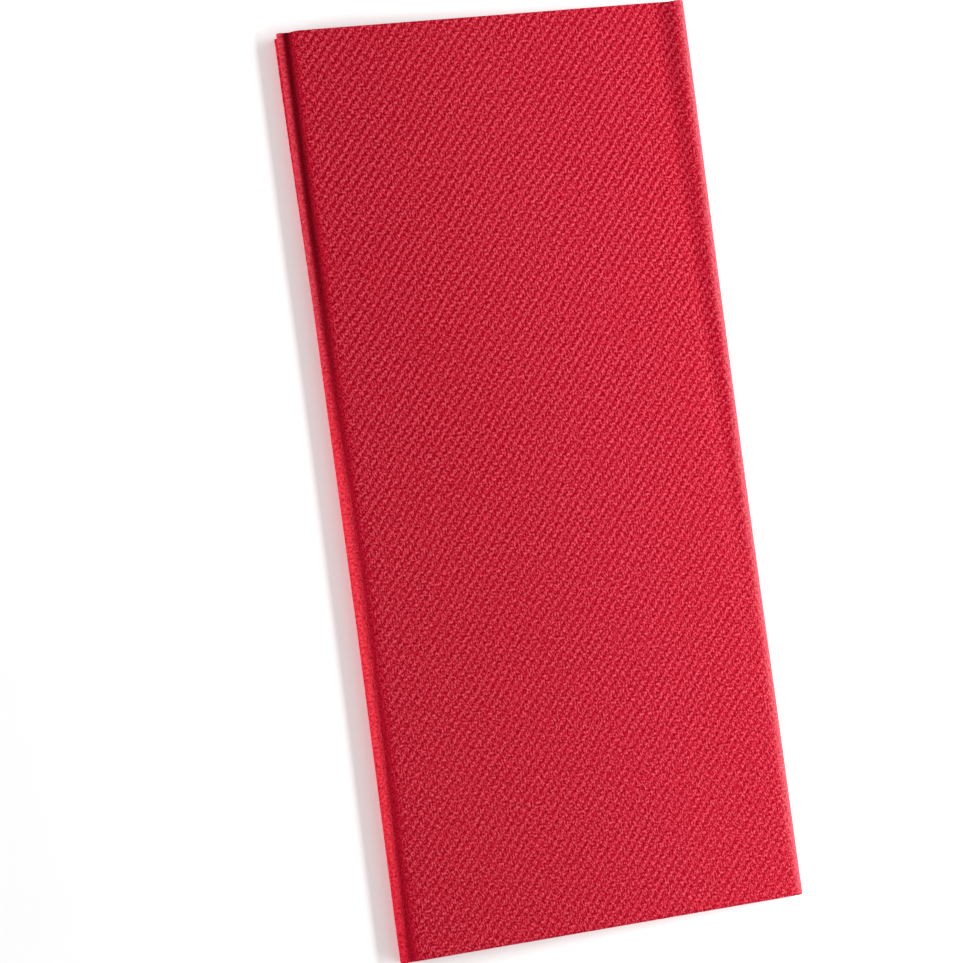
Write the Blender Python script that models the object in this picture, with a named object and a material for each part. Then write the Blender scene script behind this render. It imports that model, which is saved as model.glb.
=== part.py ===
# Paper napkin: one square sheet in an eighth fold, lying on its back.
# It is folded in half along its length, then in half across, and then closed like a book.
# X is the folded width, Y the folded length, Z the thickness, and z = 0 is the surface under it.
# The far end, at +Y, shows the cut edges. The near end, at -Y, is the first fold.
# The second fold is the fat one along the left side, at -X, in the front half alone.
# The book fold is the spine along the right side, at +X, with all the layers round it.

import math

import bmesh
import bpy

# Driving sizes, in metres
SHEET_SIDE = 0.432
SHEET_THICKNESS = 0.00042
LAYER_PITCH = 0.00057

# Folded size, from the square sheet
FOLDED_WIDTH = SHEET_SIDE / 4
FOLDED_LENGTH = SHEET_SIDE / 2
LAYERS = 8
STACK_HEIGHT = LAYERS * LAYER_PITCH
LAYER_GAP = LAYER_PITCH - SHEET_THICKNESS

# Bend radii of the first two folds, at the middle of what they bend
FIRST_BEND = LAYER_PITCH / 2
SECOND_BEND = LAYER_PITCH

# Where the flat layers begin and end between the folds
SPINE_X = (FOLDED_WIDTH - STACK_HEIGHT + LAYER_GAP) / 2
FIRST_FOLD_Y = FIRST_BEND + (SHEET_THICKNESS - FOLDED_LENGTH) / 2
SECOND_FOLD_X = SECOND_BEND + FIRST_BEND + (SHEET_THICKNESS - FOLDED_WIDTH) / 2
LAYER_REACH = SPINE_X - SECOND_FOLD_X
LAYER_RUN = FOLDED_LENGTH / 2 - FIRST_FOLD_Y

# The back half's cut edges start a little in from the fat fold, and lie further in below the end
BACK_INSET_AT_END = 0.0008
BACK_INSET_BELOW = 0.0015
BACK_INSET_LENGTH = 0.080

# At the cut end the back half and the fat fold stop short, and the spine stands out
BACK_END_SHORTER = 0.0013
FAT_FOLD_END_SHORTER = 0.00025
FAT_FOLD_WIDTH = 0.0036
SPINE_END_LONGER = 0.0002
SPINE_WIDTH = 0.0030

# The left edge is rounded down: how far, over what width, and the share of it that the back half has
EDGE_DROP = 0.00028
EDGE_WIDTH = 0.0018
BACK_SHARE = 0.25

# The trough beside the fat fold, read along the length. Each row is
# (y, start, bottom and end of the trough as distances from the left side, its depth)
LEFT_ROWS = (
    (-0.108, 0.00090, 0.0026, 0.0050, 0.00034),
    (-0.070, 0.00140, 0.0030, 0.0052, 0.00022),
    (-0.024, 0.00180, 0.0034, 0.0056, 0.00016),
    (0.000, 0.00170, 0.0034, 0.0054, 0.00018),
    (0.023, 0.00090, 0.0028, 0.0052, 0.00034),
    (0.046, 0.00060, 0.0022, 0.0050, 0.00060),
    (0.060, 0.00050, 0.0020, 0.0049, 0.00074),
    (0.108, 0.00050, 0.0019, 0.0048, 0.00080),
)

# The trough beside the spine: (y, start, bottom and end, depth, how far the spine rises after it)
RIGHT_ROWS = (
    (-0.108, 0.0990, 0.1030, 0.1066, 0.00004, -0.00018),
    (-0.040, 0.0990, 0.1032, 0.1066, 0.00005, -0.00016),
    (0.030, 0.0985, 0.1036, 0.1060, 0.00018, 0.00010),
    (0.108, 0.0975, 0.1036, 0.1058, 0.00034, 0.00030),
)

# The near end stands a little higher at its fold
NEAR_END_SWELL = 0.00018
NEAR_END_LENGTH = 0.0050

# Slow waves in the thickness: (share of the thickness, waves across, waves along, phase)
WAVES = (
    (0.014, 0.8, 1.3, 0.4),
    (0.010, 1.7, 0.6, 2.1),
    (0.008, 0.5, 2.9, 4.4),
)

# How far the long sides bow in, and where along the length the bow is deepest
LEFT_BOW = 0.00028
LEFT_BOW_Y = -0.030
RIGHT_BOW = 0.00035
RIGHT_BOW_Y = 0.0

# Stations along each stretch, as distances from the fold where it starts
REACH_STATIONS = (0.0, 0.0022, 0.0045, 0.0075, 0.028, 0.056, 0.082, 0.0960, 0.0995, 0.1012, 0.1022,
                  0.1030, 0.1038)
RUN_STATIONS = (0.0, 0.0045, 0.018, 0.038, 0.060, 0.084, 0.108, 0.131, 0.154, 0.168, 0.190, 0.2095)

# Steps round each fold
FIRST_FOLD_STEPS = 6
SECOND_FOLD_STEPS = 8
SPINE_STEPS = 8

NAPKIN_RED = (0.578, 0.010, 0.032, 1.0)
NAPKIN_ROUGHNESS = 0.92
CREASE_ANGLE = math.radians(40)


def clear_scene():
    for item in list(bpy.data.objects):
        bpy.data.objects.remove(item, do_unlink=True)


def napkin_material():
    material = bpy.data.materials.new("napkin_paper")
    material.use_nodes = True
    shader = material.node_tree.nodes["Principled BSDF"]
    shader.inputs["Base Color"].default_value = NAPKIN_RED
    shader.inputs["Roughness"].default_value = NAPKIN_ROUGHNESS
    shader.inputs["Metallic"].default_value = 0.0
    return material


def ease(value):
    # Eases from 0 to 1.
    value = min(max(value, 0.0), 1.0)
    return value * value * (3 - 2 * value)


def across_stations():
    # Follows a layer across: back half, spine, front half, fat fold, and home below itself.
    # Each station is (share of the reach, angle round the spine, angle round the fat fold).
    shares = [station / LAYER_REACH for station in REACH_STATIONS] + [1.0]
    outward = [(share, math.pi, 0.0) for share in reversed(shares)]
    for step in range(1, SPINE_STEPS):
        outward.append((0.0, math.pi * (1 - step / SPINE_STEPS), 0.0))
    outward += [(share, 0.0, 0.0) for share in shares]
    fold = [(1.0, 0.0, math.pi * step / SECOND_FOLD_STEPS) for step in range(1, SECOND_FOLD_STEPS)]
    homeward = [(share, spine, math.pi) for share, spine, _ in reversed(outward)]
    return outward + fold + homeward


def along_stations():
    # Follows a layer along: cut end, near end, first fold, and back to the cut end.
    # Each station is (share of the run, angle round the first fold).
    shares = [station / LAYER_RUN for station in RUN_STATIONS] + [1.0]
    outward = [(share, 0.0) for share in reversed(shares)]
    fold = [(0.0, math.pi * step / FIRST_FOLD_STEPS) for step in range(1, FIRST_FOLD_STEPS)]
    homeward = [(share, math.pi) for share in shares]
    return outward + fold + homeward


def cut_end_y(share, spine):
    # Where a layer's cut end lies along Y, for its place across.
    back = spine / math.pi
    distance = share * LAYER_REACH
    near_fat_fold = ease((distance - LAYER_REACH + FAT_FOLD_WIDTH) * 2 / FAT_FOLD_WIDTH)
    near_spine = 1 - ease(distance / SPINE_WIDTH)
    shorter = SPINE_END_LONGER * (1 - near_spine) + FAT_FOLD_END_SHORTER * near_fat_fold
    return FOLDED_LENGTH / 2 - shorter * (1 - back) - BACK_END_SHORTER * ease(back)


def layer_reach(spine, y):
    # How far a layer reaches from the spine's centre, for its place along.
    below_end = ease((FOLDED_LENGTH / 2 - y) / BACK_INSET_LENGTH)
    inset = BACK_INSET_AT_END + (BACK_INSET_BELOW - BACK_INSET_AT_END) * below_end
    overhang = SECOND_FOLD_X + FOLDED_WIDTH / 2
    return LAYER_REACH + (overhang - inset) * (spine / math.pi)


def read_rows(rows, y):
    # The sizes of a table of rows, at a place along.
    for row, following in zip(rows, rows[1:]):
        if y < following[0]:
            break
    share = min(max((y - row[0]) / (following[0] - row[0]), 0.0), 1.0)
    return [first + (second - first) * share for first, second in zip(row[1:], following[1:])]


def profile_change(place, y, front):
    # The change in thickness at a distance from the left side.
    start, bottom, end, depth = read_rows(LEFT_ROWS, y)
    edge = EDGE_DROP * (BACK_SHARE + (1 - BACK_SHARE) * front)
    change = -edge * (1 - ease(place / EDGE_WIDTH))
    change += depth * (ease((place - bottom) / (end - bottom)) - ease((place - start) / (bottom - start)))
    start, bottom, end, depth, rise = read_rows(RIGHT_ROWS, y)
    change -= depth * ease((place - start) / (bottom - start))
    return change + (depth + rise) * ease((place - bottom) / (end - bottom))


def bow_in(y, depth, deepest_y):
    # How far a long side lies inside its straight line, none at both ends.
    end_y = math.copysign(FOLDED_LENGTH / 2, y - deepest_y)
    return depth * (1 - ease((y - deepest_y) / (end_y - deepest_y)))


def uneven(x, y, z):
    # Moves a point of the evenly folded sheet to its real place. The underside stays flat.
    across = x / FOLDED_WIDTH
    along = y / FOLDED_LENGTH
    change = profile_change(x + FOLDED_WIDTH / 2, y, ease(2 * z / STACK_HEIGHT - 1))
    change += NEAR_END_SWELL * (1 - ease((y + FOLDED_LENGTH / 2) / NEAR_END_LENGTH))
    swell = change / STACK_HEIGHT
    for share, waves_across, waves_along, phase in WAVES:
        swell += share * math.sin(2 * math.pi * (waves_across * across + waves_along * along) + phase)
    moved_x = x + bow_in(y, LEFT_BOW, LEFT_BOW_Y) * (0.5 - across)
    moved_x -= bow_in(y, RIGHT_BOW, RIGHT_BOW_Y) * (0.5 + across)
    return moved_x, y, z * (1 + swell)


def sheet_point(across, along, offset):
    # Takes a point of the sheet, offset from its middle, through its three folds.
    share, spine, second_turn = across
    run_share, first_turn = along
    first_radius = FIRST_BEND + offset
    second_radius = SECOND_BEND + first_radius * math.cos(first_turn)
    y = FIRST_FOLD_Y + run_share * (cut_end_y(share, spine) - FIRST_FOLD_Y)
    y -= first_radius * math.sin(first_turn)
    depth = 2 * LAYER_PITCH - second_radius * math.cos(second_turn)
    spine_radius = STACK_HEIGHT / 2 - depth
    x = SPINE_X + spine_radius * math.sin(spine) - share * layer_reach(spine, y)
    x -= second_radius * math.sin(second_turn)
    z = (STACK_HEIGHT - LAYER_GAP) / 2 + spine_radius * math.cos(spine)
    return uneven(x, y, z)


def add_skin(shape, across, along, offset):
    # One side of the sheet, as a grid of points with faces between them.
    grid = [[shape.verts.new(sheet_point(a, b, offset)) for b in along] for a in across]
    for column, next_column in zip(grid, grid[1:]):
        for j in range(len(along) - 1):
            shape.faces.new((column[j], next_column[j], next_column[j + 1], column[j + 1]))
    return grid


def add_rim(shape, outer, inner):
    # Closes the sheet along one cut edge, between its two sides.
    for j in range(len(outer) - 1):
        shape.faces.new((outer[j], outer[j + 1], inner[j + 1], inner[j]))


def build_napkin():
    across = across_stations()
    along = along_stations()
    shape = bmesh.new()
    outer = add_skin(shape, across, along, SHEET_THICKNESS / 2)
    inner = add_skin(shape, across, along, -SHEET_THICKNESS / 2)
    for side in (0, -1):
        add_rim(shape, outer[side], inner[side])
        add_rim(shape, [column[side] for column in outer], [column[side] for column in inner])
    bmesh.ops.recalc_face_normals(shape, faces=shape.faces)
    mesh = bpy.data.meshes.new("napkin")
    shape.to_mesh(mesh)
    shape.free()
    mesh.materials.append(napkin_material())
    mesh.shade_smooth()
    mesh.set_sharp_from_angle(angle=CREASE_ANGLE)
    napkin = bpy.data.objects.new("napkin", mesh)
    bpy.context.scene.collection.objects.link(napkin)


clear_scene()
build_napkin()
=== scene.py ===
# Looks for the paper napkin: one square sheet of embossed red paper in an eighth fold, lying on its back.
# X is the folded width, Y the folded length, and the floor is z = 0.
# All sizes are in metres, unless a note says millimetres.
import math

import bpy
import numpy as np
from mathutils import Matrix, Vector


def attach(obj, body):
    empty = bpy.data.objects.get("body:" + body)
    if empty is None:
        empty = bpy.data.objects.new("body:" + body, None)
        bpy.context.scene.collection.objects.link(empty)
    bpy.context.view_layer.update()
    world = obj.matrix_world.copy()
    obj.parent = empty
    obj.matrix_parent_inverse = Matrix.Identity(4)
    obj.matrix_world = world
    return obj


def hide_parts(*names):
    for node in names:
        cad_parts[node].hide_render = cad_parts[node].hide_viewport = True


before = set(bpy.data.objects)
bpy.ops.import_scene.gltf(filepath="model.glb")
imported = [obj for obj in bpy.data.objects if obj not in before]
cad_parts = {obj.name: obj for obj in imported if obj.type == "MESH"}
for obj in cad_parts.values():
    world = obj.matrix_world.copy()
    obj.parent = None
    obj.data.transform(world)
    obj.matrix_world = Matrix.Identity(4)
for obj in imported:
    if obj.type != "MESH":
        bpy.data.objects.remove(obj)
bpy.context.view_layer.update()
print("loaded the packed frame")


# The sheet and its three folds

sheetValues = {
    "side": 0.432,
    "thickness": 0.00042,
    "pitch": 0.00057,
    # the back half's cut edges start a little in from the fat fold, and lie further in below the end
    "backInsetAtEnd": 0.0008,
    "backInsetBelow": 0.0015,
    "backInsetLength": 0.080,
    # at the cut end the back half and the fat fold stop short, and the spine stands out
    "backEndShorter": 0.0013,
    "fatFoldEndShorter": 0.00025,
    "fatFoldWidth": 0.0036,
    "spineEndLonger": 0.0002,
    "spineWidth": 0.0030,
    # the left edge is rounded down: how far, and over what width
    "edgeDrop": 0.00028,
    "edgeWidth": 0.0018,
    # the trough beside the fat fold, read along the length; each row is
    # (y, start, bottom and end of the trough as distances from the left side, its depth)
    "leftRows": (
        (-0.108, 0.00090, 0.0026, 0.0050, 0.00034),
        (-0.070, 0.00140, 0.0030, 0.0052, 0.00022),
        (-0.024, 0.00180, 0.0034, 0.0056, 0.00016),
        (0.000, 0.00170, 0.0034, 0.0054, 0.00018),
        (0.023, 0.00090, 0.0028, 0.0052, 0.00034),
        (0.046, 0.00060, 0.0022, 0.0050, 0.00060),
        (0.060, 0.00050, 0.0020, 0.0049, 0.00074),
        (0.108, 0.00050, 0.0019, 0.0048, 0.00080),
    ),
    # the trough beside the spine: (y, start, bottom and end, depth, how far the spine rises after it)
    "rightRows": (
        (-0.108, 0.0990, 0.1030, 0.1066, 0.00004, -0.00018),
        (-0.040, 0.0990, 0.1032, 0.1066, 0.00005, -0.00016),
        (0.030, 0.0985, 0.1036, 0.1060, 0.00018, 0.00010),
        (0.108, 0.0975, 0.1036, 0.1058, 0.00034, 0.00030),
    ),
    # how much of the left edge's drop is in the back half
    "backShare": 0.25,
    "nearEndSwell": 0.00018,
    "nearEndLength": 0.0050,
    # slow waves in the thickness: (share of the thickness, waves across, waves along, phase)
    "waves": (
        (0.014, 0.8, 1.3, 0.4),
        (0.010, 1.7, 0.6, 2.1),
        (0.008, 0.5, 2.9, 4.4),
    ),
    "leftBow": 0.00028,
    "leftBowY": -0.030,
    "rightBow": 0.00035,
    "rightBowY": 0.0,
}

meshValues = {
    # stations of a layer, in millimetres from the fold where it starts
    "reachStations": (
        0, 0.8, 1.8, 3.2, 5.2, 8.5, 18, 32, 48, 64,
        80, 90, 95.5, 98.8, 100.9, 102.1, 102.9, 103.5, 104, 104.4,
    ),
    "outerRun": 48,   # rows along the outer layers
    "innerRun": 18,   # rows along the inner layers
    "nearFoldSteps": 10,
    "fatFoldSteps": 12,
    "spineSteps": 14,
    "faceStepAcross": 0.00052,
    "faceStepAlong": 0.00076,
    "creaseAngle": 40,        # degrees, above which an edge is drawn sharp
}

foldedWidth = sheetValues["side"] / 4
foldedLength = sheetValues["side"] / 2
stackHeight = 8 * sheetValues["pitch"]
layerGap = sheetValues["pitch"] - sheetValues["thickness"]
firstBend = sheetValues["pitch"] / 2
secondBend = sheetValues["pitch"]
spineX = (foldedWidth - stackHeight + layerGap) / 2
firstFoldY = firstBend + (sheetValues["thickness"] - foldedLength) / 2
secondFoldX = secondBend + firstBend + (sheetValues["thickness"] - foldedWidth) / 2
layerReachAtFront = spineX - secondFoldX
layerRun = foldedLength / 2 - firstFoldY
unfolded = 0.1                # radians; a fold that has turned less hasn't begun
halfTurn = math.pi - 1e-6     # and one that has turned more is complete


def ease(value):
    value = np.clip(value, 0.0, 1.0)
    return value * value * (3 - 2 * value)


def stationsAcross():
    # follows a layer across: back half, spine, front half, fat fold, and home below itself
    # each row is (share of the reach, angle round the spine, angle round the fat fold)
    shares = [station / 1000 / layerReachAtFront for station in meshValues["reachStations"]] + [1.0]
    spineSteps = meshValues["spineSteps"]
    foldSteps = meshValues["fatFoldSteps"]
    rows = [(share, math.pi, 0.0) for share in reversed(shares)]
    rows += [(0.0, math.pi * (1 - step / spineSteps), 0.0) for step in range(1, spineSteps)]
    frontStart = len(rows)
    rows += [(share, 0.0, 0.0) for share in shares]
    frontEnd = len(rows) - 1
    homeward = [(share, spine, math.pi) for share, spine, turn in reversed(rows)]
    rows += [(1.0, 0.0, math.pi * step / foldSteps) for step in range(1, foldSteps)]
    return np.array(rows + homeward), frontStart, frontEnd


def stationsAlong():
    # follows a layer along: cut end, near end, first fold, and back to the cut end
    # each row is (share of the run, angle round the first fold)
    outer = np.linspace(1.0, 0.0, meshValues["outerRun"] + 1)
    inner = np.linspace(0.0, 1.0, meshValues["innerRun"] + 1)
    foldSteps = meshValues["nearFoldSteps"]
    rows = [(share, 0.0) for share in outer]
    nearEnd = len(rows) - 1
    rows += [(0.0, math.pi * step / foldSteps) for step in range(1, foldSteps)]
    rows += [(share, math.pi) for share in inner]
    return np.array(rows), nearEnd


def between(stations, place):
    # the station at a place that may lie between two of them
    marks = np.arange(len(stations))
    return [np.interp(place, marks, stations[:, column]) for column in range(stations.shape[1])]


def cutEndY(share, spine):
    # where a layer's cut end lies along Y, for its place across
    v = sheetValues
    back = spine / math.pi
    distance = share * layerReachAtFront
    nearFatFold = ease((distance - layerReachAtFront + v["fatFoldWidth"]) * 2 / v["fatFoldWidth"])
    nearSpine = 1 - ease(distance / v["spineWidth"])
    shorter = v["spineEndLonger"] * (1 - nearSpine) + v["fatFoldEndShorter"] * nearFatFold
    return foldedLength / 2 - shorter * (1 - back) - v["backEndShorter"] * ease(back)


def layerReach(spine, y):
    # how far a layer reaches from the spine's centre, for its place along
    v = sheetValues
    belowEnd = ease((foldedLength / 2 - y) / v["backInsetLength"])
    inset = v["backInsetAtEnd"] + (v["backInsetBelow"] - v["backInsetAtEnd"]) * belowEnd
    overhang = secondFoldX + foldedWidth / 2
    return layerReachAtFront + (overhang - inset) * (spine / math.pi)


def readRows(rows, y):
    # the sizes of a table of rows, at a place along
    columns = np.array(rows).T
    return [np.interp(y, columns[0], column) for column in columns[1:]]


def troughDepth(rows, place, y):
    # how deep a trough is at a distance from the left side
    start, bottom, end, depth = readRows(rows, y)[:4]
    return depth * (ease((place - start) / (bottom - start)) - ease((place - bottom) / (end - bottom)))


def profileChange(place, y, front):
    # the change in thickness at a distance from the left side
    v = sheetValues
    edge = v["edgeDrop"] * (v["backShare"] + (1 - v["backShare"]) * front)
    change = -edge * (1 - ease(place / v["edgeWidth"]))
    change = change - troughDepth(v["leftRows"], place, y) - troughDepth(v["rightRows"], place, y)
    bottom, end, _, rise = readRows(v["rightRows"], y)[1:]
    return change + rise * ease((place - bottom) / (end - bottom))


def bowIn(y, depth, deepestY):
    # how far a long side lies inside its straight line, none at both ends
    endY = np.where(y >= deepestY, foldedLength / 2, -foldedLength / 2)
    return depth * (1 - ease((y - deepestY) / (endY - deepestY)))


def uneven(x, y, z):
    # moves a point of the evenly folded sheet to its real place; the underside stays flat
    v = sheetValues
    across = x / foldedWidth
    along = y / foldedLength
    place = x + foldedWidth / 2
    change = profileChange(place, y, ease(2 * z / stackHeight - 1))
    change = change + v["nearEndSwell"] * (1 - ease((y + foldedLength / 2) / v["nearEndLength"]))
    swell = change / stackHeight
    for share, wavesAcross, wavesAlong, phase in v["waves"]:
        swell = swell + share * np.sin(2 * math.pi * (wavesAcross * across + wavesAlong * along) + phase)
    movedX = x + bowIn(y, v["leftBow"], v["leftBowY"]) * (0.5 - across)
    movedX = movedX - bowIn(y, v["rightBow"], v["rightBowY"]) * (0.5 + across)
    return movedX, y, z * (1 + swell)


def sheetPoints(across, along, offset):
    # takes points of the sheet, offset from its middle, through its three folds
    share, spine, secondTurn = across
    runShare, firstTurn = along
    firstRadius = firstBend + offset
    secondRadius = secondBend + firstRadius * np.cos(firstTurn)
    y = firstFoldY + runShare * (cutEndY(share, spine) - firstFoldY)
    y = y - firstRadius * np.sin(firstTurn)
    depth = 2 * sheetValues["pitch"] - secondRadius * np.cos(secondTurn)
    spineRadius = stackHeight / 2 - depth
    x = spineX + spineRadius * np.sin(spine) - share * layerReach(spine, y)
    x = x - secondRadius * np.sin(secondTurn)
    z = (stackHeight - layerGap) / 2 + spineRadius * np.cos(spine)
    return np.stack(uneven(x, y, z), axis=-1)


def flatPlaces(across, along):
    # where a point lies on the opened sheet, in millimetres, with the front half where it really is
    share, spine, secondTurn = across
    runShare, firstTurn = along
    front = spineX - share * layerReachAtFront
    roundSpine = spine * stackHeight / 2
    back = spineX + math.pi * stackHeight / 2 + share * layerReachAtFront
    outward = np.where(spine > halfTurn, back, front + roundSpine)
    turned = secondFoldX - secondTurn * 2 * firstBend
    turned = turned - (outward - secondFoldX) * (secondTurn > halfTurn)
    x = np.where(secondTurn > 0, turned, outward)
    y = firstFoldY + runShare * layerRun * np.where(firstTurn > halfTurn, -1, 1) - firstTurn * firstBend
    x, y = x * 1000, y * 1000
    # the rows of the grain wander a little
    for lengthX, lengthY, phase, moveX, moveY in grainValues["wander"]:
        wave = np.sin(2 * math.pi * (x / lengthX + y / lengthY) + phase)
        x, y = x + moveX * wave, y + moveY * wave
    return x, y


# The embossed grain: two sets of fine rows, pressed over each other

grainWaves = (
    # (waves across and along in each millimetre, share of the depth, phase in degrees)
    (-0.4030, 0.3668, 1.000, 105),
    (0.8095, 0.3443, 0.500, 250),
    (0.3886, 0.4327, 0.430, 232),
    (-0.2532, 0.8654, 0.350, -145),
    (1.2125, -0.0225, 0.360, -31),
    (0.6418, -0.4327, 0.230, 246),
    (0.1354, 1.2981, 0.220, 124),
    (0.6062, -0.0113, 0.070, 77),
    (-0.8061, 0.7337, 0.065, -90),
    (0.0044, 0.8654, 0.090, 35),
    (0.2032, 0.3556, 0.080, 13),
    (0.4064, 0.7112, 0.050, 48),
    (-0.3842, 0.4327, 0.040, 84),
    (-0.1266, 0.4327, 0.050, -8),
    (0.1310, 0.4327, 0.045, 17),
)

grainValues = {
    "depth": 0.000085,        # height of the first row's waves above their middle, metres
    "meshShare": 0.5,         # how much of the long waves is in the mesh; the rest is in the material
    "longestStep": 0.36,      # a wave is in the mesh while a face step is under this share of it
    "smoothFrom": 2.8,        # millimetres from the left side, where the grain starts beside the fat fold
    "smoothTo": 5.2,
    "pressedAtSpine": 0.55,   # share of the grain left on the spine's round
    "spineFrom": -1.5,        # millimetres across from the round's start, between which that sets in
    "spineTo": 1.5,
    "pressedAtEnd": 0.80,     # share of the grain left at the near end
    "endFrom": 60,            # millimetres along, between which that sets in
    "endTo": -70,
    # (length across, length along, phase, move across, move along), millimetres
    "wander": (
        (37.0, 61.0, 0.7, 0.10, -0.08),
        (-23.0, 19.0, 2.9, 0.07, 0.09),
        (17.0, 43.0, 5.1, -0.06, 0.07),
    ),
}


def inMesh(wave):
    stepX = meshValues["faceStepAcross"] * 1000 * abs(wave[0])
    stepY = meshValues["faceStepAlong"] * 1000 * abs(wave[1])
    return max(stepX, stepY) < grainValues["longestStep"]


def grainAmount(placeX, placeY):
    # no grain in the trough beside the fat fold, less round the spine and towards the near end
    v = grainValues
    fromLeft = placeX + foldedWidth * 1000 / 2
    fromRound = placeX - spineX * 1000
    amount = ease((fromLeft - v["smoothFrom"]) / (v["smoothTo"] - v["smoothFrom"]))
    towardsSpine = ease((fromRound - v["spineFrom"]) / (v["spineTo"] - v["spineFrom"]))
    towardsEnd = ease((placeY - v["endFrom"]) / (v["endTo"] - v["endFrom"]))
    amount = amount * (1 - (1 - v["pressedAtSpine"]) * towardsSpine)
    return amount * (1 - (1 - v["pressedAtEnd"]) * towardsEnd)


def grainHeight(placeX, placeY):
    total = np.zeros_like(placeX)
    for wave in grainWaves:
        if inMesh(wave):
            turn = 2 * math.pi * (wave[0] * placeX + wave[1] * placeY) + math.radians(wave[3])
            total = total + wave[2] * np.cos(turn)
    return grainValues["meshShare"] * total


# Painted light: painted sheen on the spine's round, painted highlight on the fat fold, and painted shade
# in the troughs

paintedLightValues = {
    "deepestTrough": 0.00080,   # depth at which a trough's painted shade is darkest
    "troughPower": 1.25,        # above 1, a trough's shallow sides keep more of the face's colour
    "spineTrough": 1.2,         # how much more painted shade the trough beside the spine gets for its depth
    "spine": 0.90,              # how strong the painted sheen on the spine's round is at its most
    "spineTop": 0.45,           # and the painted highlight on the flat just before the round
    "topFrom": -1.2,            # millimetres across from the round's start, between which that sets in
    "topTo": 0.4,
    "spineRise": 0.85,          # radians round the spine, where the painted sheen is full
    "spineFade": (1.05, 1.70),  # radians, between which it goes
    # how much painted highlight the fat fold has: (y, share at the wall, share on top)
    "foldRows": (
        (-0.108, 0.10, 0.40),
        (-0.080, 0.20, 0.90),
        (-0.049, 0.05, 1.00),
        (-0.026, 0.05, 1.00),
        (0.000, 0.30, 1.00),
        (0.021, 0.40, 0.60),
        (0.044, 0.50, 0.80),
        (0.108, 0.50, 0.80),
    ),
    "foldTop": 0.0009,          # distance from the left side where the fold's top starts
    "foldEnd": 0.8,             # share of the way to the trough where the painted highlight starts to go
    "foldFade": 0.0013,         # and the width over which it goes
    "paleFrom": 10,             # millimetres along, where the fold's colour starts to pale
    "paleTo": 45,
}


def foldHighlight(fromLeft, y):
    # how much painted highlight the fat fold has, from its wall to the start of the trough
    wall, top = readRows(paintedLightValues["foldRows"], y)
    start = readRows(sheetValues["leftRows"], y)[0]
    share = wall + (top - wall) * ease(fromLeft / paintedLightValues["foldTop"])
    return share * (1 - ease((fromLeft - paintedLightValues["foldEnd"] * start) / paintedLightValues["foldFade"]))


def roundSheen(spine, placeX):
    # how much painted sheen the upper part of the spine's round has, and painted highlight on the flat
    # just before it
    v = paintedLightValues
    start, end = v["spineFade"]
    fromRound = placeX - spineX * 1000
    onRound = v["spine"] * np.sin(spine) * ease(spine / v["spineRise"])
    onTop = v["spineTop"] * ease((fromRound - v["topFrom"]) / (v["topTo"] - v["topFrom"]))
    return np.maximum(onRound, onTop) * (1 - ease((spine - start) / (end - start)))


def troughShading(fromLeft, y):
    # how much painted shade the two troughs have
    trough = troughDepth(sheetValues["leftRows"], fromLeft, y)
    trough = trough + paintedLightValues["spineTrough"] * troughDepth(sheetValues["rightRows"], fromLeft, y)
    return np.clip(trough / paintedLightValues["deepestTrough"], 0.0, 1.0) ** paintedLightValues["troughPower"]


class SheetMesh:
    # Collects the points and faces of the sheet's two sides and its cut edges.
    def __init__(self):
        self.points = []
        self.places = []
        self.amounts = []
        self.raised = []
        self.spineSheens = []
        self.foldHighlights = []
        self.troughShades = []
        self.faces = []
        self.count = 0

    def add(self, u, v, side, grained):
        across = between(acrossRows, u)
        along = between(alongRows, v)
        placeX, placeY = flatPlaces(across, along)
        amount = grainAmount(placeX, placeY)
        half = sheetValues["thickness"] / 2
        raised = grainHeight(placeX, placeY) * amount if grained else np.zeros_like(placeX)
        offset = side * half + raised * grainValues["depth"]
        points = sheetPoints(across, along, offset)
        _, spine, secondTurn = across
        outside = (along[1] < unfolded) * (side > 0)
        onFront = outside * (spine < unfolded)
        fromLeft = points[:, 0] + foldedWidth / 2
        y = points[:, 1]
        self.points.append(points)
        self.places.append(np.stack([placeX, placeY, np.zeros_like(placeX)], axis=-1))
        self.amounts.append(amount)
        self.raised.append(raised)
        # painted sheen on the spine, painted highlight on the fat fold and painted shade in the troughs
        self.spineSheens.append(roundSheen(spine, placeX) * (secondTurn < unfolded) * outside)
        self.foldHighlights.append(foldHighlight(fromLeft, y) * onFront)
        self.troughShades.append(troughShading(fromLeft, y) * onFront)
        ids = np.arange(self.count, self.count + len(points))
        self.count += len(points)
        return ids


def fineMarks(first, last, sizes, step):
    # finer marks between the stations from first to last, and where each station lies among them
    marks = []
    where = {}
    for index in range(first, last):
        parts = max(1, int(math.ceil(sizes[index - first] / step)))
        where[index] = len(marks)
        marks += [index + part / parts for part in range(parts)]
    where[last] = len(marks)
    marks.append(float(last))
    return np.array(marks), where


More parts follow.
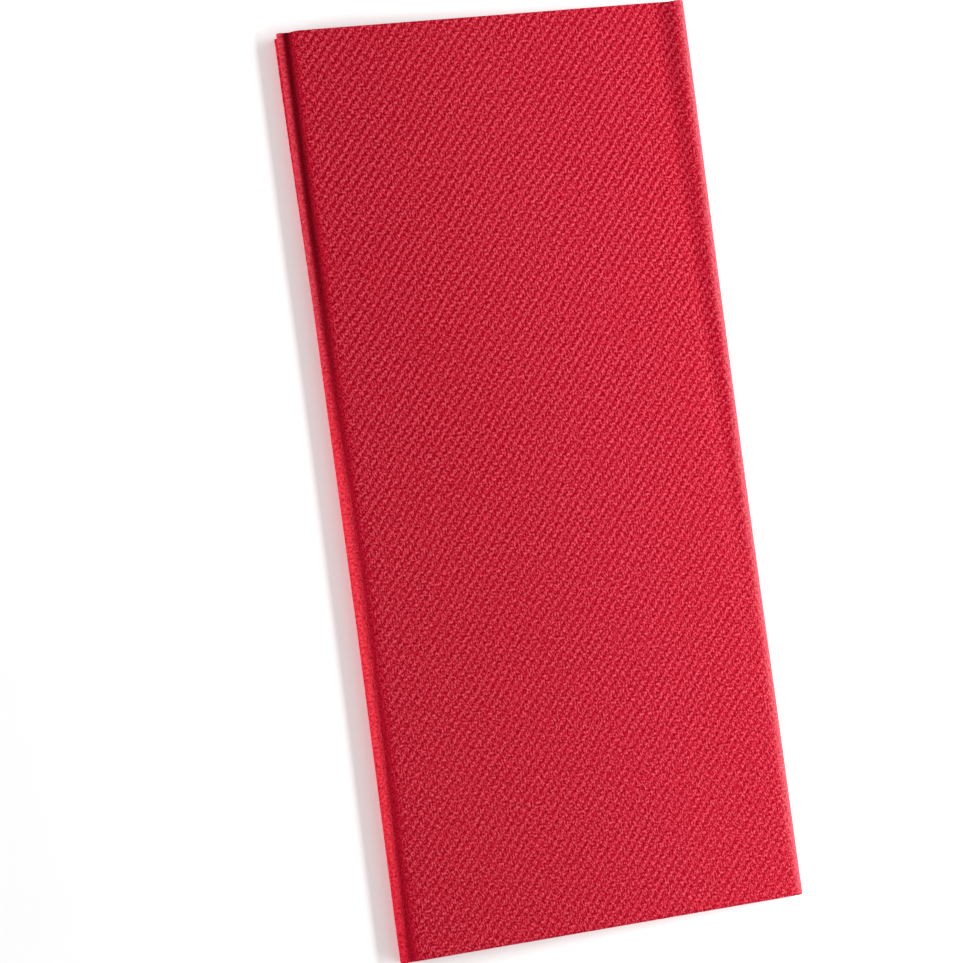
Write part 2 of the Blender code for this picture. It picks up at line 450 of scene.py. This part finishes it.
def buildSheet():
    sheet = SheetMesh()
    countAcross, countAlong = len(acrossRows), len(alongRows)

    # the outer side has a fine patch on the front face
    acrossSizes = np.abs(np.diff(acrossRows[frontStart:frontEnd + 1, 0])) * layerReachAtFront
    alongSizes = np.abs(np.diff(alongRows[:nearEnd + 1, 0])) * layerRun
    fineU, whereU = fineMarks(frontStart, frontEnd, acrossSizes, meshValues["faceStepAcross"])
    fineV, whereV = fineMarks(0, nearEnd, alongSizes, meshValues["faceStepAlong"])
    gridU, gridV = np.meshgrid(fineU, fineV, indexing="ij")
    fineIds = sheet.add(gridU.ravel(), gridV.ravel(), 1, True).reshape(gridU.shape)

    def inPatch(i, j):
        return frontStart <= i <= frontEnd and 0 <= j <= nearEnd

    coarse = [(i, j) for i in range(countAcross) for j in range(countAlong)]
    outerIds = np.full((countAcross, countAlong), -1)
    outside = np.array([(i, j) for i, j in coarse if not inPatch(i, j)])
    outerIds[outside[:, 0], outside[:, 1]] = sheet.add(outside[:, 0], outside[:, 1], 1, False)
    for i in range(frontStart, frontEnd + 1):
        for j in range(nearEnd + 1):
            outerIds[i, j] = fineIds[whereU[i], whereV[j]]
    everywhere = np.array(coarse)
    innerIds = sheet.add(everywhere[:, 0], everywhere[:, 1], -1, False).reshape(countAcross, countAlong)

    def outerEdge(start, end):
        # the points of an edge of the outer side, without its last one
        if inPatch(*start) and inPatch(*end):
            fromU, toU = whereU[start[0]], whereU[end[0]]
            fromV, toV = whereV[start[1]], whereV[end[1]]
            if fromU != toU:
                step = 1 if toU > fromU else -1
                return [int(fineIds[k, fromV]) for k in range(fromU, toU, step)]
            step = 1 if toV > fromV else -1
            return [int(fineIds[fromU, k]) for k in range(fromV, toV, step)]
        return [int(outerIds[start])]

    # faces of the fine patch
    a, b = fineIds[:-1, :-1].ravel(), fineIds[1:, :-1].ravel()
    c, d = fineIds[1:, 1:].ravel(), fineIds[:-1, 1:].ravel()
    sheet.faces += np.stack([a, b, c, d], axis=1).tolist()

    # faces of the other cells, whose shared edges take the patch's points
    for i in range(countAcross - 1):
        for j in range(countAlong - 1):
            corners = [(i, j), (i + 1, j), (i + 1, j + 1), (i, j + 1)]
            inner = [int(innerIds[corner]) for corner in corners]
            sheet.faces.append(inner[::-1])
            if frontStart <= i < frontEnd and j < nearEnd:
                continue
            outer = []
            for corner, following in zip(corners, corners[1:] + corners[:1]):
                outer += outerEdge(corner, following)
            sheet.faces.append(outer)

    # the four cut edges
    ends = []
    for j, turned in ((0, True), (countAlong - 1, False)):
        ends += [((i, j), (i + 1, j), turned) for i in range(countAcross - 1)]
    for i, turned in ((0, False), (countAcross - 1, True)):
        ends += [((i, j), (i, j + 1), turned) for j in range(countAlong - 1)]
    for start, end, turned in ends:
        outer = outerEdge(start, end) + [int(outerIds[end])]
        face = outer + [int(innerIds[end]), int(innerIds[start])]
        sheet.faces.append(face if not turned else face[::-1])
    return sheet


def makePiece(name, sheet, material):
    mesh = bpy.data.meshes.new(name)
    mesh.from_pydata(np.concatenate(sheet.points), [], sheet.faces)
    places = mesh.attributes.new("place", "FLOAT_VECTOR", "POINT")
    places.data.foreach_set("vector", np.concatenate(sheet.places).astype(np.float32).ravel())
    # the last three columns are masks of painted sheen, painted highlight and painted shade
    columns = {
        "grain": sheet.amounts,
        "raised": sheet.raised,
        "spineSheen": sheet.spineSheens,
        "foldHighlight": sheet.foldHighlights,
        "troughShade": sheet.troughShades,
    }
    for key, values in columns.items():
        numbers = mesh.attributes.new(key, "FLOAT", "POINT")
        numbers.data.foreach_set("value", np.concatenate(values).astype(np.float32))
    mesh.materials.append(material)
    mesh.shade_smooth()
    mesh.set_sharp_from_angle(angle=math.radians(meshValues["creaseAngle"]))
    mesh.validate()
    piece = bpy.data.objects.new(name, mesh)
    bpy.context.scene.collection.objects.link(piece)
    return piece


# The paper

paperValues = {
    # groove: painted shade in the grain's grooves; middle: the paper's own red; crest: painted highlight
    # on the grain's crests
    "grooveShade": (0.235, 0.0001, 0.0050, 1.0),
    "middle": (0.385, 0.0022, 0.0170, 1.0),
    "crestHighlight": (0.620, 0.0650, 0.1000, 1.0),
    # painted sheen on the spine's round
    "spineSheenColour": (0.620, 0.1220, 0.1460, 1.0),
    # painted highlight on the fat fold, and the paler, dimmer one it turns to towards the cut end
    "foldHighlightNear": (0.610, 0.0260, 0.0400, 1.0),
    "foldHighlightFar": (0.400, 0.0380, 0.0550, 1.0),
    # painted shade in the troughs beside the fat fold and the spine
    "troughShade": (0.080, 0.0001, 0.0020, 1.0),
    "troughShadeStrength": 0.85,
    "roughness": 0.60,
    "roughnessSpread": 0.08,
    "specular": 0.02,
    # how hard the grain is pressed from patch to patch: least and most
    "patchScale": 0.045,
    "pressed": (0.75, 1.15),
    # scale, detail and roughness of the noises, on a millimetre scale
    "fuzzNoise": (0.90, 3.0, 0.80),
    "speckNoise": (2.20, 1.0),
    "fibreNoise": (1.0, 2.0),
    "fuzzStretch": (1.25, 0.85, 1.0),   # fuzz and specks are a little longer along than across
    "fibreStretch": (2.2, 1.1, 1.0),
    "fuzzHeight": 0.00039,
    "speckHeight": 0.00028,
    "fibreHeight": 0.00012,
    "fuzzOnSpine": 0.4,       # share of the fuzz left where the spine has its painted sheen
    # how much each one counts in the grain's painted shade and highlight, and the levels of the groove's
    # painted shade and the crest's painted highlight
    "rowsInColour": 0.35,
    "fuzzInColour": 1.6,
    "specksInColour": 4.4,
    "grooveLevel": -0.70,
    "crestLevel": 1.10,
    "crestOnFold": 0.60,      # share of the crests' painted highlight on the fat fold's painted highlight
    "crestInTrough": 0.12,    # and in the smooth trough
    "crestFullAt": 0.75,      # amount of grain from which the crests have all of it
    # share of the painted sheen and highlight colours in the fuzz's hollows and on its tops, and the
    # levels of both
    "highlightSpecks": (0.35, 1.0),
    "highlightSpecksFrom": -0.22,
    "highlightSpecksTo": 0.12,
}


class Nodes:
    # Short ways to add shader nodes and join them.
    def __init__(self, material):
        material.use_nodes = True
        self.tree = material.node_tree
        self.shader = self.tree.nodes["Principled BSDF"]

    def add(self, kind, inputs=None, **settings):
        node = self.tree.nodes.new(kind)
        for key, value in settings.items():
            setattr(node, key, value)
        for key, value in (inputs or {}).items():
            self.feed(node.inputs[key], value)
        return node

    def feed(self, socket, value):
        if isinstance(value, bpy.types.NodeSocket):
            self.tree.links.new(value, socket)
        else:
            socket.default_value = value

    def read(self, name, output="Fac"):
        return self.add("ShaderNodeAttribute", attribute_name=name).outputs[output]

    def maths(self, operation, first, second=0.0):
        return self.add("ShaderNodeMath", {0: first, 1: second}, operation=operation).outputs[0]

    def times(self, first, second):
        return self.maths("MULTIPLY", first, second)

    def plus(self, first, second):
        return self.maths("ADD", first, second)

    def vector(self, operation, first, second):
        node = self.add("ShaderNodeVectorMath", {0: first, 1: second}, operation=operation)
        return node.outputs["Value" if operation == "DOT_PRODUCT" else "Vector"]

    def noise(self, place, scale, detail=2.0, roughness=0.5):
        inputs = {"Vector": place, "Scale": scale, "Detail": detail, "Roughness": roughness}
        return self.add("ShaderNodeTexNoise", inputs).outputs["Fac"]

    def evenNoise(self, place, settings):
        # noise that lies evenly about nought
        return self.maths("SUBTRACT", self.noise(place, *settings), 0.5)

    def mix(self, share, first, second):
        node = self.add("ShaderNodeMix", data_type="RGBA")
        self.feed(node.inputs["Factor"], share)
        self.feed(node.inputs["A"], first)
        self.feed(node.inputs["B"], second)
        return node.outputs["Result"]

    def range(self, value, low, high, toLow=0.0, toHigh=1.0):
        inputs = {"Value": value, "From Min": low, "From Max": high, "To Min": toLow, "To Max": toHigh}
        return self.add("ShaderNodeMapRange", inputs).outputs["Result"]


def paperMaterial():
    v = paperValues
    material = bpy.data.materials.new("napkinPaper")
    nodes = Nodes(material)
    place = nodes.read("place", "Vector")
    amount = nodes.read("grain")
    raised = nodes.read("raised")
    # masks of painted sheen on the spine, painted highlight on the fat fold and painted shade in the
    # troughs
    spineSheen = nodes.read("spineSheen")
    foldHighlight = nodes.read("foldHighlight")
    troughShade = nodes.read("troughShade")

    # the rows of the grain, less what the mesh has of them
    height = None
    for wave in grainWaves:
        turn = nodes.vector("DOT_PRODUCT", place, (2 * math.pi * wave[0], 2 * math.pi * wave[1], 0.0))
        turn = nodes.plus(turn, math.radians(wave[3] + 90))   # a cosine is a sine a quarter ahead
        share = wave[2] * (1 - grainValues["meshShare"] if inMesh(wave) else 1)
        row = nodes.times(nodes.maths("SINE", turn), share)
        height = row if height is None else nodes.plus(height, row)
    pressed = nodes.range(nodes.noise(place, v["patchScale"]), 0.3, 0.7, *v["pressed"])
    rows = nodes.times(height, nodes.times(pressed, amount))

    # fuzz, specks and fibres of the paper
    fuzzPlace = nodes.vector("MULTIPLY", place, v["fuzzStretch"])
    fuzz = nodes.evenNoise(fuzzPlace, v["fuzzNoise"])
    specks = nodes.evenNoise(fuzzPlace, v["speckNoise"])
    fibres = nodes.evenNoise(nodes.vector("MULTIPLY", place, v["fibreStretch"]), v["fibreNoise"])
    fuzzAmount = nodes.range(spineSheen, 0.0, 1.0, 1.0, v["fuzzOnSpine"])
    relief = nodes.times(rows, grainValues["depth"])
    relief = nodes.plus(relief, nodes.times(nodes.times(fuzz, fuzzAmount), v["fuzzHeight"]))
    relief = nodes.plus(relief, nodes.times(nodes.times(specks, fuzzAmount), v["speckHeight"]))
    relief = nodes.plus(relief, nodes.times(fibres, v["fibreHeight"]))
    bump = nodes.add("ShaderNodeBump", {"Height": relief, "Strength": 1.0, "Distance": 1.0})

    # painted shade in the grooves of the grain
    level = nodes.times(nodes.plus(rows, raised), v["rowsInColour"])
    level = nodes.plus(level, nodes.times(fuzz, v["fuzzInColour"]))
    level = nodes.plus(level, nodes.times(specks, v["specksInColour"]))
    colour = nodes.mix(nodes.range(level, v["grooveLevel"], 0.0), v["grooveShade"], v["middle"])

    # painted highlight on the fat fold, in a paler, dimmer colour towards the cut end
    highlightSpecks = nodes.range(nodes.plus(fuzz, specks), v["highlightSpecksFrom"], v["highlightSpecksTo"], *v["highlightSpecks"])
    along = nodes.add("ShaderNodeSeparateXYZ", {"Vector": place}).outputs["Y"]
    paleness = nodes.range(along, paintedLightValues["paleFrom"], paintedLightValues["paleTo"])
    foldHighlightColour = nodes.mix(paleness, v["foldHighlightNear"], v["foldHighlightFar"])
    colour = nodes.mix(nodes.times(foldHighlight, highlightSpecks), colour, foldHighlightColour)

    # painted highlight on the crests, little in the trough beside the fat fold, and more on the fold
    # itself
    onFace = nodes.range(amount, 0.0, v["crestFullAt"], v["crestInTrough"], 1.0)
    crestShare = nodes.maths("MAXIMUM", nodes.times(foldHighlight, v["crestOnFold"]), onFace)
    crestHighlight = nodes.times(nodes.range(level, 0.0, v["crestLevel"]), crestShare)
    colour = nodes.mix(crestHighlight, colour, v["crestHighlight"])

    # painted sheen on the spine's round, and painted shade in the troughs
    colour = nodes.mix(nodes.times(spineSheen, highlightSpecks), colour, v["spineSheenColour"])
    colour = nodes.mix(nodes.times(troughShade, v["troughShadeStrength"]), colour, v["troughShade"])

    spread = v["roughnessSpread"]
    roughness = nodes.range(fuzz, -0.25, 0.25, v["roughness"] - spread, v["roughness"] + spread)
    nodes.feed(nodes.shader.inputs["Base Color"], colour)
    nodes.feed(nodes.shader.inputs["Roughness"], roughness)
    nodes.feed(nodes.shader.inputs["Normal"], bump.outputs["Normal"])
    nodes.shader.inputs["Specular IOR Level"].default_value = v["specular"]
    return material


acrossRows, frontStart, frontEnd = stationsAcross()
alongRows, nearEnd = stationsAlong()
napkin = makePiece("foldedNapkin", buildSheet(), paperMaterial())
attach(napkin, "root")
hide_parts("napkin")
napkin.data.calc_loop_triangles()
print("built the folded sheet,", len(napkin.data.loop_triangles), "triangles")


# The floor, the lights and the camera

floorValues = {
    "size": 5.0,
    "colour": (0.94, 0.94, 0.94, 1.0),
    "roughness": (0.80, 0.85),
    "specular": 0.1,
    "noiseScale": 3.0,
    "depth": 0.0001,          # just under the napkin
}

lightValues = {
    # (place, where it points, width and length, strength in watts)
    "left": ((-1.60, 0.05, 0.340), (0.00, 0.00, 0.00), (1.20, 0.30), 42.0),
    "right": ((0.60, 0.02, 0.024), (0.00, 0.00, 0.00), (0.60, 0.03), 9.0),
    "above": ((0.20, 0.00, 0.200), (0.18, 0.00, 0.00), (0.70, 0.12), 1.95),
}

roomValues = {
    "colour": (1.0, 1.0, 1.0, 1.0),
    "strength": 0.40,
}

cameraValues = {
    "place": (-0.5426, -0.0194, 1.0426),
    "turn": -26.904,          # degrees about Y, from the left of the face
    "tip": 1.029,             # degrees about X
    "roll": -7.176,           # degrees about its own axis
    "lens": 184.2,            # millimetres, on a sensor 36 wide
}


def buildFloor():
    half = floorValues["size"] / 2
    z = -floorValues["depth"]
    mesh = bpy.data.meshes.new("floor")
    corners = [(-half, -half, z), (half, -half, z), (half, half, z), (-half, half, z)]
    mesh.from_pydata(corners, [], [(0, 1, 2, 3)])
    material = bpy.data.materials.new("floorPaint")
    nodes = Nodes(material)
    grain = nodes.noise(nodes.add("ShaderNodeTexCoord").outputs["Object"], floorValues["noiseScale"])
    roughness = nodes.range(grain, 0.3, 0.7, *floorValues["roughness"])
    nodes.feed(nodes.shader.inputs["Roughness"], roughness)
    nodes.shader.inputs["Base Color"].default_value = floorValues["colour"]
    nodes.shader.inputs["Specular IOR Level"].default_value = floorValues["specular"]
    mesh.materials.append(material)
    floor = bpy.data.objects.new("floor", mesh)
    bpy.context.scene.collection.objects.link(floor)


def addLights():
    for name, (place, target, size, strength) in lightValues.items():
        light = bpy.data.lights.new(name, "AREA")
        light.shape = "RECTANGLE"
        light.size, light.size_y = size
        light.energy = strength
        lamp = bpy.data.objects.new(name, light)
        lamp.location = place
        aim = Vector(target) - Vector(place)
        lamp.rotation_mode = "QUATERNION"
        lamp.rotation_quaternion = aim.to_track_quat("-Z", "Y")
        lamp.visible_camera = False
        bpy.context.scene.collection.objects.link(lamp)
    world = bpy.data.worlds.new("studio")
    world.use_nodes = True
    background = world.node_tree.nodes["Background"]
    background.inputs["Color"].default_value = roomValues["colour"]
    background.inputs["Strength"].default_value = roomValues["strength"]
    bpy.context.scene.world = world


def addCamera():
    v = cameraValues
    lens = bpy.data.cameras.new("camera")
    lens.sensor_width = 36.0
    lens.lens = v["lens"]
    lens.clip_start, lens.clip_end = 0.01, 20.0
    camera = bpy.data.objects.new("camera", lens)
    tip = Matrix.Rotation(math.radians(v["tip"]), 4, "X")
    turn = Matrix.Rotation(math.radians(v["turn"]), 4, "Y")
    roll = Matrix.Rotation(math.radians(v["roll"]), 4, "Z")
    camera.matrix_world = Matrix.Translation(v["place"]) @ tip @ turn @ roll
    bpy.context.scene.collection.objects.link(camera)
    bpy.context.scene.camera = camera


buildFloor()
addLights()
addCamera()
bpy.context.scene.view_settings.view_transform = "Standard"
print("added the floor, the lights and the camera")
